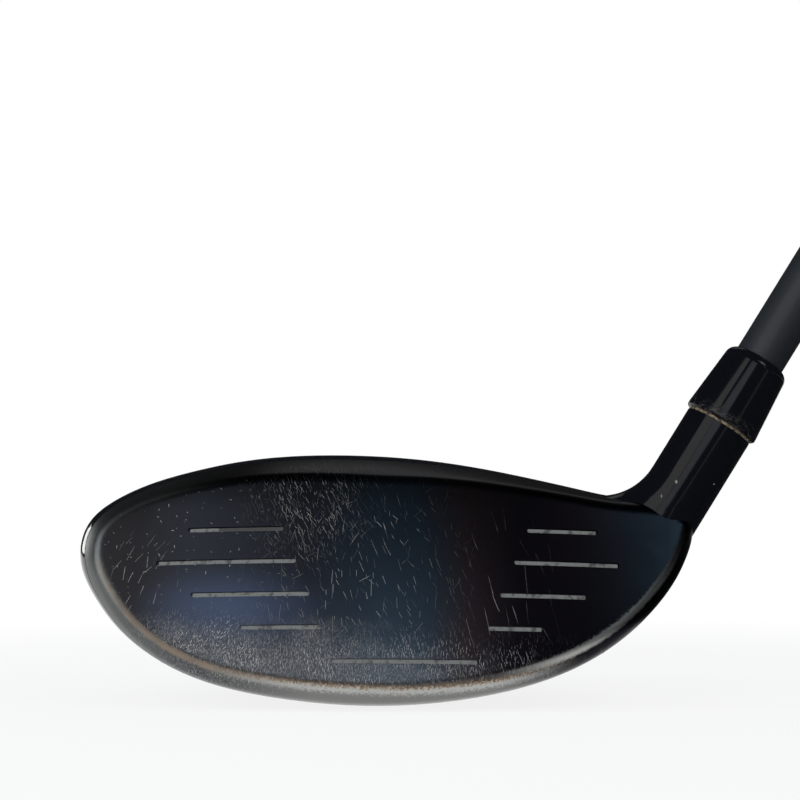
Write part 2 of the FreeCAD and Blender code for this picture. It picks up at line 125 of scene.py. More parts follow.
class FaceFinish(bpy.types.PropertyGroup):
    """Coated, brushed and worn hitting face."""
    # also painted on the cup's walls as a painted dark reflection
    black: colour("Black", (0.0090, 0.0078, 0.0110), "Darkest tint of the coat")
    slate: colour("Slate", (0.014, 0.014, 0.016), "Tint at the toe")
    steel: colour("Steel blue", (0.017, 0.020, 0.026), "Tint beside the toe")
    navy: colour("Navy", (0.0150, 0.0175, 0.0240), "Tint between toe and middle")
    teal: colour("Teal", (0.0200, 0.0320, 0.0460), "Tint in the middle and at the heel")
    plum: colour("Plum", (0.0240, 0.0185, 0.0215), "Tint on the heel side of the middle")
    # painted sheen: a blue glow of reflected light, painted low on the toe side
    painted_glow: colour("Blue", (0.040, 0.055, 0.095), "Tint low on the toe side")
    haze: colour("Haze", (0.085, 0.092, 0.105), "Coat dulled by wear, low on the face")
    # painted highlight: a grey tint on the toe's wall stands in for a reflected strip of light, and the wall is
    # also made matt
    matt_and_sheen: colour("Dull", (0.14, 0.145, 0.142), "Coat rubbed matt on the toe's wall")
    bare: colour("Bare metal", (0.46, 0.465, 0.45), "Metal where the coat is worn off")
    # partly a thin coat, partly a painted warm highlight line along the lower edge
    bronze_sheen: colour("Bronze", (0.30, 0.235, 0.175), "Thin coat beside the bare metal")
    scratch: colour("Scratch", (0.58, 0.58, 0.56), "Fine scratches through the coat")
    roughness: share("Roughness", 0.30, "Roughness of the unworn coat")


class ScoreLines(bpy.types.PropertyGroup):
    """Paint in the score lines."""
    width: length("Width", 0.74 * MM, "Width of the paint in a line")
    depth: length("Depth", 0.27 * MM, "How far the paint lies under the face")
    ball_radius: length("Face radius", 330 * MM, "Bulge and roll of the face")
    tilt: FloatProperty(
        name="Tilt", description="How far the rows fall towards the heel", subtype="ANGLE",
        unit="ROTATION", default=math.radians(0.5),
    )
    paint: colour("Paint", (0.17, 0.175, 0.17), "Paint in the lines")


class Paint(bpy.types.PropertyGroup):
    """Gloss paint of head and collar."""
    black: colour("Black", (0.004, 0.0045, 0.0065), "Gloss black")
    roughness: share("Roughness", 0.09, "Roughness of the gloss")
    chip: colour("Chip", (0.35, 0.34, 0.28), "Primer that shows in chips")


class ShaftFinish(bpy.types.PropertyGroup):
    """Lacquered graphite shaft."""
    lacquer: colour("Lacquer", (0.0105, 0.0130, 0.0165), "Satin dark lacquer")
    roughness: share("Roughness", 0.52, "Roughness of the lacquer")


class GripPattern(bpy.types.PropertyGroup):
    """Raised pattern of the grip."""
    rubber: colour("Rubber", (0.018, 0.018, 0.019), "Grip rubber")
    rows: IntProperty(name="Rows", description="Rows of pads along the grip", default=70)
    around: IntProperty(name="Around", description="Pads in one row", default=22)
    pad_length: length("Pad length", 2.3 * MM, "Length of one pad")
    pad_width: length("Pad width", 0.9 * MM, "Width of one pad")
    pad_height: length("Pad height", 0.35 * MM, "How far a pad stands out")


class Stage(bpy.types.PropertyGroup):
    """Floor, lights and camera."""
    floor: colour("Floor", (0.86, 0.86, 0.86), "Floor")
    camera_distance: length("Camera distance", 0.346, "Camera to the shaft's plane")
    camera_height: length("Camera height", 0.0316, "Camera above the floor")
    camera_side: length("Camera side", -0.02745, "Camera along the face")
    camera_tilt: FloatProperty(
        name="Camera tilt", description="Camera's upward tilt", subtype="ANGLE", unit="ROTATION",
        default=math.radians(4.0),
    )
    focal_length: FloatProperty(
        name="Focal length", description="On a 36 mm sensor", unit="CAMERA", default=83.7
    )


# ------------------------------------------------------------------ shader nodes
def shaded(tint, factor):
    """A colour made darker or lighter by a factor, up to 1."""
    return tuple(min(1.0, factor * c) for c in tint)


class Finish:
    """A material under construction: each call adds one node and returns its output."""

    def __init__(self, name):
        self.material = bpy.data.materials.new(name)
        self.material.use_nodes = True
        self.tree = self.material.node_tree
        self.shader = self.tree.nodes["Principled BSDF"]
        self.place = self.node("ShaderNodeTexCoord").outputs["Object"]

    def node(self, kind, **settings):
        made = self.tree.nodes.new(kind)
        for key, value in settings.items():
            setattr(made, key, value)
        return made

    def put(self, socket, value):
        if isinstance(value, bpy.types.NodeSocket):
            self.tree.links.new(value, socket)
        elif socket.type == "RGBA" and len(value) == 3:
            socket.default_value = (*value, 1)
        else:
            socket.default_value = value

    def set(self, **values):
        """Set the shader's own sockets, with _ for a space."""
        for key, value in values.items():
            self.put(self.shader.inputs[key.replace("_", " ")], value)

    def calc(self, operation, *values, clamp=False):
        made = self.node("ShaderNodeMath", operation=operation, use_clamp=clamp)
        for socket, value in zip(made.inputs, values):
            self.put(socket, value)
        return made.outputs[0]

    def product(self, *values):
        total = values[0]
        for value in values[1:]:
            total = self.calc("MULTIPLY", total, value)
        return total

    def most(self, *values):
        """Largest of several outputs."""
        best = values[0]
        for value in values[1:]:
            best = self.calc("MAXIMUM", best, value)
        return best

    def vector(self, operation, *values):
        made = self.node("ShaderNodeVectorMath", operation=operation)
        for socket, value in zip(made.inputs, values):
            self.put(socket, value)
        single = operation in ("LENGTH", "DOT_PRODUCT")
        return made.outputs["Value" if single else "Vector"]

    def scaled(self, scale, place=None):
        made = self.node("ShaderNodeMapping")
        self.put(made.inputs["Vector"], place or self.place)
        made.inputs["Scale"].default_value = scale
        return made.outputs[0]

    def noise(self, scale, detail=2.0, rough=0.5, place=None):
        made = self.node("ShaderNodeTexNoise")
        self.put(made.inputs["Vector"], place or self.place)
        made.inputs["Scale"].default_value = scale
        made.inputs["Detail"].default_value = detail
        made.inputs["Roughness"].default_value = rough
        return made.outputs["Fac"]

    def span(self, value, low, high, to_low=0.0, to_high=1.0):
        """Smooth step of a value from low..high to to_low..to_high."""
        made = self.node("ShaderNodeMapRange", interpolation_type="SMOOTHSTEP")
        for socket, setting in zip(made.inputs, (value, low, high, to_low, to_high)):
            self.put(socket, setting)
        return made.outputs[0]

    def mix(self, factor, first, second):
        made = self.node("ShaderNodeMix", data_type="RGBA")
        self.put(made.inputs[0], factor)
        self.put(made.inputs[6], first)
        self.put(made.inputs[7], second)
        return made.outputs[2]

    def ramp(self, value, stops):
        made = self.node("ShaderNodeValToRGB")
        self.put(made.inputs[0], value)
        bar = made.color_ramp
        while len(bar.elements) < len(stops):
            bar.elements.new(1.0)
        for element, (at, tint) in zip(bar.elements, stops):
            element.position = at
            element.color = (*tint, 1)
        return made.outputs["Color"]

    def bump(self, height, strength, distance):
        made = self.node("ShaderNodeBump")
        made.inputs["Strength"].default_value = strength
        made.inputs["Distance"].default_value = distance
        self.put(made.inputs["Height"], height)
        self.put(self.shader.inputs["Normal"], made.outputs[0])

    def axes(self, place=None):
        made = self.node("ShaderNodeSeparateXYZ")
        self.put(made.inputs[0], place or self.place)
        return made.outputs

    def blob(self, x, z, half_x, half_z, core=0.0):
        """1 at a point of the front view, falling to 0 at an oval round it (millimetres)."""
        moved = self.vector("SUBTRACT", self.place, (x * MM, 0.0, z * MM))
        near = self.vector("MULTIPLY", moved, (1 / (half_x * MM), 0.0, 1 / (half_z * MM)))
        return self.span(self.vector("LENGTH", near), 1.0, core)

    def strokes(self, cell, long, wide, heading, fan, share_drawn, shift=0.0, bend=0.0):
        """Short straight scratches seen from the front, one to a cell (millimetres, degrees)."""
        side, _, high = self.axes()
        flat = self.node("ShaderNodeCombineXYZ")
        self.put(flat.inputs[0], side)
        self.put(flat.inputs[1], high)
        flat.inputs[2].default_value = 0.0
        place = self.vector("ADD", flat.outputs[0], (shift * MM, shift * MM * 0.7, 0.0))
        if bend:
            sway = self.node("ShaderNodeTexNoise")
            self.put(sway.inputs["Vector"], place)
            sway.inputs["Scale"].default_value = 120.0
            offset = self.vector("SCALE", self.vector("SUBTRACT", sway.outputs["Color"], (0.5,) * 3))
            offset.node.inputs["Scale"].default_value = bend * MM
            place = self.vector("ADD", place, offset)
        cells = self.node("ShaderNodeTexVoronoi", voronoi_dimensions="2D")
        self.put(cells.inputs["Vector"], place)
        cells.inputs["Scale"].default_value = 1 / (cell * MM)
        local = self.vector("SUBTRACT", place, cells.outputs["Position"])
        dice = self.axes(cells.outputs["Color"])
        angle = self.calc("MULTIPLY_ADD", dice[0], math.radians(2 * fan), math.radians(heading - fan))
        turn = self.node("ShaderNodeVectorRotate", rotation_type="Z_AXIS")
        self.put(turn.inputs["Vector"], local)
        self.put(turn.inputs["Angle"], self.calc("MULTIPLY", angle, -1.0))
        run, off, _ = self.axes(turn.outputs[0])
        reach = self.calc("MULTIPLY_ADD", dice[1], 0.7 * long * MM, 0.3 * long * MM)
        body = self.span(self.calc("DIVIDE", self.calc("ABSOLUTE", run), reach), 1.0, 0.6)
        line = self.span(self.calc("ABSOLUTE", off), wide * MM, wide * MM * 0.3)
        drawn = self.span(dice[2], share_drawn, share_drawn * 0.35)
        return self.product(body, line, drawn)


def coat_tint(f, look, side, facing):
    """The unworn coat: bands from toe to heel, a painted sheen low on the toe side, and walls painted black as a
    painted dark reflection.
    """
    toe_end, heel_end, drift = -80 * MM, 22 * MM, 14 * MM
    place = f.calc("MULTIPLY_ADD", f.noise(18.0, 2.0), drift, f.calc("SUBTRACT", side, drift / 2))
    across = f.span(place, toe_end, heel_end)
    across.node.interpolation_type = "LINEAR"
    coat = f.ramp(across, [
        (0.03, look.slate), (0.14, look.steel), (0.22, look.steel), (0.34, look.navy),
        (0.47, look.teal), (0.55, look.teal), (0.63, look.plum), (0.72, look.black),
        (0.82, look.black), (0.96, shaded(look.teal, 0.35)),
    ])
    # painted sheen: a blue glow of reflected light, painted low on the toe side
    coat = f.mix(f.product(f.blob(-57.0, 18.0, 21.0, 9.0), 0.8), coat, look.painted_glow)
    # painted dark reflection: the cup's walls, where the face turns away, are painted black
    wall = f.span(facing, 0.95, 0.70)
    return f.mix(f.product(wall, 0.8), coat, look.black)


def scratch_mask(f):
    """Fine scratches, each kind in its own area of the face."""
    # centre along the face and up it, half width and half height, share of it that is full
    crowded = f.blob(-43.0, 37.0, 16.0, 15.0, 0.1)
    middle = f.blob(-34.0, 26.0, 26.0, 26.0, 0.1)
    toe_side = f.blob(-62.0, 32.0, 34.0, 18.0, 0.3)
    heel_side = f.blob(-9.0, 20.0, 12.0, 18.0, 0.3)
    low = f.blob(-30.0, 4.0, 54.0, 13.0, 0.35)
    toe_edge = f.blob(-74.0, 18.0, 9.0, 17.0, 0.3)
    toe_low = f.blob(-64.0, 9.0, 20.0, 10.0, 0.4)
    # cell, length and width in mm, heading and fan in degrees, share drawn, shift and bend in mm
    kinds = [
        (crowded, (1.1, 2.2, 0.024, 114, 12, 0.85)),
        (crowded, (0.7, 0.8, 0.026, 100, 40, 0.7, 7.0)),
        (middle, (1.4, 1.2, 0.024, 112, 28, 0.6, 3.0)),
        (middle, (2.3, 2.6, 0.024, 75, 55, 0.45, 11.0)),
        (toe_side, (1.5, 0.35, 0.032, 130, 60, 0.5, 19.0)),
        (heel_side, (3.9, 4.6, 0.026, 108, 14, 0.75, 5.0, 0.8)),
        (low, (0.9, 1.3, 0.024, 93, 16, 0.65, 23.0)),
        (low, (0.5, 0.5, 0.028, 88, 25, 0.5, 31.0)),
        (toe_edge, (2.0, 2.6, 0.028, 62, 26, 0.55, 37.0)),
        (toe_low, (0.55, 0.6, 0.034, 70, 50, 0.8, 47.0)),
    ]
    drawn = f.most(*[f.product(f.strokes(*settings), area) for area, settings in kinds])
    return f.product(drawn, f.span(f.noise(260.0), 0.35, 0.6, 0.25, 0.9))


def face_material(look):
    """The coat with its haze, scratches and worn lower edge, and painted light in its colour: a sheen low on the
    toe side, highlights on the toe's wall and along the lower edge, shade under the rim and a dark reflection on
    the cup's walls.

    Along the face, side is measured from where the shaft line meets the ground.  facing is
    1 on the flat of the face and falls over its rim; down is 1 where the rim looks down.
    """
    f = Finish("worn_face_coat")
    side, _, high = f.axes()
    normal = f.node("ShaderNodeNewGeometry").outputs["Normal"]
    down = f.product(f.axes(normal)[2], -1.0)
    facing = f.vector("DOT_PRODUCT", normal, tuple(FACE_NORMAL))
    toe_half = f.span(side, -6 * MM, -40 * MM)
    coat = coat_tint(f, look, side, facing)
    # painted highlight on the toe's wall, which is also made rougher below
    matt_and_sheen = f.product(f.span(facing, 0.985, 0.90), f.span(side, -54 * MM, -74 * MM))
    coat = f.mix(f.product(matt_and_sheen, 0.85), coat, look.matt_and_sheen)

    # haze and speckle, low on the face
    ragged = f.calc("MULTIPLY_ADD", f.noise(160.0, 4.0, 0.65), 12 * MM, -6 * MM)
    haze_top = f.calc("MULTIPLY_ADD", toe_half, 7 * MM, 11 * MM)
    haze_full = f.calc("SUBTRACT", haze_top, 10 * MM)
    haze = f.product(
        f.span(f.calc("ADD", high, ragged), haze_top, haze_full),
        f.span(side, 8 * MM, -22 * MM), f.span(side, -80 * MM, -66 * MM),
    )
    fine = f.noise(1.0, 2.0, 0.7, f.scaled((6500.0, 1500.0, 2300.0)))
    speckle = f.product(f.span(fine, 0.48, 0.68), f.span(haze, 0.0, 0.9))
    scratched = scratch_mask(f)

    # wear of the lower edge: bare wall, darker where it looks down as painted shade, a tan line at the toe that is
    # partly rubbed coat and partly a painted warm highlight, bare crest at the heel
    rough_edge = f.calc("MULTIPLY_ADD", f.noise(2600.0, 3.0, 0.7), 0.7, -0.35)
    start = f.calc("MULTIPLY_ADD", toe_half, -0.25, -0.05)
    worn = f.span(f.calc("ADD", down, rough_edge), start, f.calc("ADD", start, 0.85))
    kept = f.product(f.span(side, 6 * MM, -14 * MM), f.span(side, -66 * MM, -40 * MM))
    edge = f.calc("MULTIPLY_ADD", rough_edge, 0.16, facing)
    # painted warm highlight line along the toe side of the rim, on rubbed coat
    rubbed_sheen = f.product(
        f.span(edge, 0.975, 0.92), f.span(edge, 0.74, 0.86), f.span(down, -0.35, 0.05),
        toe_half, f.span(ragged, -4 * MM, 3 * MM, 0.3, 1.0),
    )
    crest = f.product(
        f.span(edge, 0.985, 0.94), f.span(edge, 0.74, 0.88), f.span(down, -0.30, 0.05),
        f.calc("SUBTRACT", f.span(side, 27 * MM, 17 * MM), kept),
    )
    crest = f.calc("MULTIPLY", crest, f.span(side, -34 * MM, -16 * MM), clamp=True)
    # the bronze stops paint a warm highlight line, and the last stop darkens the bare rim where it looks down, as
    # painted shade
    wear_and_sheen_tint = f.ramp(worn, [
        (0.0, look.black), (0.20, shaded(look.bronze_sheen, 0.4)), (0.40, look.bronze_sheen),
        (0.60, look.bare), (0.75, look.bare), (1.0, shaded(look.bare, 0.45)),
    ])

    tint = f.mix(f.product(haze, 0.4), coat, look.haze)
    tint = f.mix(f.product(speckle, 0.24), tint, look.scratch)
    tint = f.mix(scratched, tint, look.scratch)
    tint = f.mix(f.product(rubbed_sheen, 0.8), tint, look.bronze_sheen)
    tint = f.mix(crest, tint, look.bare)
    tint = f.mix(f.product(f.span(worn, 0.0, 0.3), kept), tint, wear_and_sheen_tint)
    grain = f.noise(1.0, 3.0, 0.6, f.scaled((9000.0, 400.0, 1100.0)))
    rough = f.calc("MULTIPLY_ADD", grain, 0.12, look.roughness - 0.06)
    rough = f.calc("MULTIPLY_ADD", speckle, 0.15, rough)
    rough = f.calc("MULTIPLY_ADD", matt_and_sheen, 0.12, rough)
    f.set(Base_Color=tint, Metallic=1.0, Roughness=rough)
    f.bump(f.calc("SUBTRACT", f.product(grain, 0.2), scratched), 0.2, 0.03 * MM)
    return f.material


def gloss_black(look, name, chipped=0.0, marks=(), scuffed=None):
    """Gloss paint with random chips, chips at given marks and a scuffed band up the shaft line."""
    f = Finish(name)
    chips = f.node("ShaderNodeTexVoronoi")
    f.put(chips.inputs["Vector"], f.place)
    chips.inputs["Scale"].default_value = 95.0
    spot = f.span(chips.outputs["Distance"], 0.045, 0.03)
    dice = f.axes(chips.outputs["Color"])
    spot = f.product(spot, f.calc("LESS_THAN", dice[0], chipped))
    spot = f.most(spot, *[f.blob(*mark) for mark in marks])
    hair = f.noise(1.0, 2.0, 0.6, f.scaled((500.0, 500.0, 6000.0)))
    hair = f.span(hair, 0.66, 0.72, 0.0, 0.35)
    tint = f.mix(spot, look.black, look.chip)
    matt = f.product(spot, 0.5)
    if scuffed:
        bottom, top = scuffed
        height = f.vector("DOT_PRODUCT", f.place, tuple(UP_SHAFT))
        band = f.span(f.calc("MULTIPLY_ADD", f.noise(220.0, 3.0), 4 * MM, height), top, bottom)
        ridge = f.calc("ABSOLUTE", f.calc("SUBTRACT", f.noise(420.0, 4.0, 0.6), 0.5))
        scuff = f.product(f.span(ridge, 0.022, 0.006), band)
        tint = f.mix(f.product(scuff, 0.35), tint, (0.16, 0.15, 0.135))
        matt = f.most(matt, f.product(band, 0.18))
    rough = f.calc("MULTIPLY_ADD", f.noise(60.0, 3.0), 0.05, look.roughness - 0.02)
    rough = f.calc("ADD", matt, f.calc("MULTIPLY_ADD", hair, 0.2, rough))
    f.set(Base_Color=tint, IOR=1.25, Roughness=rough)
    f.bump(f.noise(900.0, 2.0), 0.05, 0.02 * MM)
    return f.material


def seal_material():
    """Frayed tan ring with dark gaps."""
    f = Finish("tan_seal")
    fray = f.noise(1500.0, 4.0, 0.7)
    tint = f.ramp(fray, [
        (0.36, (0.015, 0.013, 0.011)), (0.46, (0.13, 0.09, 0.05)), (0.58, (0.32, 0.24, 0.15)),
    ])
    f.set(Base_Color=tint, Roughness=0.7)
    f.bump(fray, 0.8, 0.15 * MM)
    return f.material


def score_paint(look):
    """Paint with dirt in it, mostly gone in the top row's toe side."""
    f = Finish("score_line_paint")
    dirt = f.span(f.noise(700.0, 4.0, 0.7), 0.50, 0.62)
    side, _, high = f.axes()
    worn_row = f.product(
        f.span(side, -36 * MM, -52 * MM), f.span(high, 29 * MM, 31 * MM),
        f.span(side, -60.5 * MM, -60.0 * MM),
    )
    dark = f.most(f.product(dirt, 0.75), f.product(worn_row, 0.85))
    f.set(Base_Color=f.mix(dark, look.paint, (0.02, 0.02, 0.018)), Roughness=0.55)
    f.bump(f.noise(2500.0, 3.0), 0.3, 0.05 * MM)
    return f.material


def shaft_material(look):
    """Satin lacquer over fibres that run along the shaft."""
    f = Finish("shaft_lacquer")
    upright = f.node("ShaderNodeMapping")
    f.put(upright.inputs["Vector"], f.place)
    upright.inputs["Rotation"].default_value = (0.0, -UP_SHAFT.angle(UPRIGHT), 0.0)
    fibre = f.noise(1.0, 3.0, 0.6, f.scaled((2600.0, 2600.0, 60.0), upright.outputs[0]))
    tint = f.mix(f.product(fibre, 0.5), look.lacquer, shaded(look.lacquer, 1.6))
    rough = f.calc("MULTIPLY_ADD", f.noise(35.0, 2.0), 0.1, look.roughness - 0.05)
    f.set(Base_Color=tint, Roughness=rough)
    f.set(Specular_IOR_Level=0.4, Coat_Weight=0.1, Coat_Roughness=0.3)
    f.bump(fibre, 0.06, 0.03 * MM)
    return f.material


def metal(name, tint, roughness, grain=(4000.0, 4000.0, 300.0)):
    """Mottled metal with fine lines."""
    f = Finish(name)
    lines = f.noise(1.0, 3.0, 0.6, f.scaled(grain))
    mottled = f.mix(f.noise(300.0, 3.0), shaded(tint, 0.6), tint)
    rough = f.calc("MULTIPLY_ADD", lines, 0.2, roughness - 0.1)
    f.set(Base_Color=mottled, Metallic=1.0, Roughness=rough)
    f.bump(lines, 0.15, 0.03 * MM)
    return f.material


def soft(name, tint, roughness, grain=1500.0, strength=0.3):
    """Rubber, plastic, foam or paper: mottled, with a fine grain."""
    f = Finish(name)
    fine = f.noise(grain, 3.0, 0.6)
    mottled = f.mix(f.noise(120.0, 3.0), tint, shaded(tint, 1.5))
    f.set(Base_Color=mottled, Roughness=f.calc("MULTIPLY_ADD", fine, 0.2, roughness - 0.1))
    f.bump(fine, strength, 0.08 * MM)
    return f.material


# ------------------------------------------------------------------ meshes
def finished(mesh, name, body, material, replaces=()):
    """An object from a mesh that is already in place, riding on its body."""
    piece = bpy.data.objects.new(name, mesh)
    bpy.context.scene.collection.objects.link(piece)
    if material:
        mesh.materials.clear()
        mesh.materials.append(material)
    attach(piece, body)
    if replaces:
        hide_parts(*replaces)
    return piece


def merged_copy(*nodes, sharp=35.0):
    """One mesh from CAD nodes, with their loose triangles joined and smooth shading."""
    work = bmesh.new()
    for node in nodes:
        work.from_mesh(frame["nodes"][node].data)
    bmesh.ops.remove_doubles(work, verts=work.verts, dist=MERGE_DISTANCE)
    for face in work.faces:
        face.smooth = True
    limit = math.radians(sharp)
    for edge in work.edges:
        edge.smooth = len(edge.link_faces) == 2 and edge.calc_face_angle(0.0) < limit
    mesh = bpy.data.meshes.new("+".join(nodes))
    work.to_mesh(mesh)
    work.free()
    return mesh


def paint_nodes(material, *nodes):
    for node in nodes:
        data = frame["nodes"][node].data
        data.materials.clear()
        data.materials.append(material)


# ------------------------------------------------------------------ geometry nodes
class Tree:
    """A geometry node tree under construction, from its named inputs to one output."""

    def __init__(self, name):
        self.group = bpy.data.node_groups.new(name, "GeometryNodeTree")
        self.inlet = self.group.nodes.new("NodeGroupInput")
        self.outlet = self.group.nodes.new("NodeGroupOutput")
        self.input("Geometry", "NodeSocketGeometry")
        self.group.interface.new_socket("Geometry", in_out="OUTPUT", socket_type="NodeSocketGeometry")

    def input(self, name, kind, value=None):
        made = self.group.interface.new_socket(name, in_out="INPUT", socket_type=kind)
        if value is not None:
            made.default_value = value
        return self.inlet.outputs[name]

    def node(self, kind, inputs=None, **settings):
        made = self.group.nodes.new(kind)
        for key, value in settings.items():
            setattr(made, key, value)
        for key, value in (inputs or {}).items():
            if isinstance(value, bpy.types.NodeSocket):
                self.group.links.new(value, made.inputs[key])
            else:
                made.inputs[key].default_value = value
        return made

    def math(self, operation, *values):
        return self.node("ShaderNodeMath", dict(enumerate(values)), operation=operation).outputs[0]

    def vector(self, operation, *values):
        made = self.node("ShaderNodeVectorMath", dict(enumerate(values)), operation=operation)
        return made.outputs["Vector"]

    def attribute(self, name, kind):
        made = self.node("GeometryNodeInputNamedAttribute", {"Name": name}, data_type=kind)
        return made.outputs["Attribute"]

    def finish(self, geometry, material):
        real = self.node("GeometryNodeRealizeInstances", {"Geometry": geometry})
        smooth = self.node("GeometryNodeSetShadeSmooth", {"Geometry": real.outputs[0]})
        coloured = self.node(
            "GeometryNodeSetMaterial", {"Geometry": smooth.outputs[0], "Material": material}
        )
        self.group.links.new(coloured.outputs[0], self.outlet.inputs[0])
        return self.group


def grown(points, tree, name, values):
    """Run a geometry node tree on a point mesh and keep its result as a plain mesh."""
    seed = bpy.data.objects.new(name + "_points", points)
    bpy.context.scene.collection.objects.link(seed)
    modifier = seed.modifiers.new("grow", "NODES")
    modifier.node_group = tree
    for item in tree.interface.items_tree:
        if item.in_out == "INPUT" and item.name in values:
            modifier[item.identifier] = values[item.name]
    depsgraph = bpy.context.evaluated_depsgraph_get()
    mesh = bpy.data.meshes.new_from_object(seed.evaluated_get(depsgraph), depsgraph=depsgraph)
    seed.modifiers.remove(modifier)
    bpy.data.objects.remove(seed)
    mesh.name = name
    if not mesh.polygons:
        raise RuntimeError(name + " came out empty")
    return mesh


def point_mesh(name, places, **attributes):
    """Loose points with float or vector attributes."""
    mesh = bpy.data.meshes.new(name)
    mesh.from_pydata([tuple(p) for p in places], [], [])
    for key, values in attributes.items():
        vector = hasattr(values[0], "__len__")
        layer = mesh.attributes.new(key, "FLOAT_VECTOR" if vector else "FLOAT", "POINT")
        for item, value in zip(layer.data, values):
            if vector:
                item.vector = value
            else:
                item.value = value
    return mesh


def score_tree(material):
    """Flat bars, one on each point, bent onto the face's ball."""
    t = Tree("score_line_paint")
    width = t.input("Width", "NodeSocketFloat", 0.0007)
    radius = t.input("Paint Radius", "NodeSocketFloat", 0.33)
    centre = t.input("Ball Centre", "NodeSocketVector")
    bar = t.node("GeometryNodeMeshGrid", {"Size X": 1.0, "Size Y": 1.0, "Vertices X": 25, "Vertices Y": 5})
    placed = t.node("GeometryNodeInstanceOnPoints", {
        "Points": t.inlet.outputs["Geometry"], "Instance": bar.outputs["Mesh"],
        "Rotation": t.attribute("turn", "FLOAT_VECTOR"),
    })
    size = t.node("ShaderNodeCombineXYZ", {0: t.attribute("reach", "FLOAT"), 1: width, 2: 1.0})
    sized = t.node("GeometryNodeScaleInstances", {
        "Instances": placed.outputs[0], "Scale": size.outputs[0],
    })
    real = t.node("GeometryNodeRealizeInstances", {"Geometry": sized.outputs[0]})
    place = t.node("GeometryNodeInputPosition").outputs[0]
    away = t.vector("NORMALIZE", t.vector("SUBTRACT", place, centre))
    onto = t.node("ShaderNodeVectorMath", {0: away}, operation="SCALE")
    t.group.links.new(radius, onto.inputs["Scale"])
    moved = t.node("GeometryNodeSetPosition", {
        "Geometry": real.outputs[0], "Position": t.vector("ADD", centre, onto.outputs[0]),
    })
    return t.finish(moved.outputs[0], material)


def grip_tree(material):
    """A small raised pad on each point, turned to its own direction."""
    t = Tree("grip_pads")
    long = t.input("Pad Length", "NodeSocketFloat", 0.002)
    wide = t.input("Pad Width", "NodeSocketFloat", 0.001)
    high = t.input("Pad Height", "NodeSocketFloat", 0.0003)
    pad = t.node("GeometryNodeMeshCone", {
        "Vertices": 8, "Side Segments": 1, "Radius Top": 0.62, "Radius Bottom": 1.0, "Depth": 1.0,
    }, fill_type="NGON")
    size = t.node("ShaderNodeCombineXYZ", {
        0: t.math("DIVIDE", wide, 2.0), 1: t.math("DIVIDE", long, 2.0), 2: high,
    })
    placed = t.node("GeometryNodeInstanceOnPoints", {
        "Points": t.inlet.outputs["Geometry"], "Instance": pad.outputs["Mesh"],
        "Rotation": t.attribute("turn", "FLOAT_VECTOR"), "Scale": size.outputs[0],
    })
    return t.finish(placed.outputs[0], material)


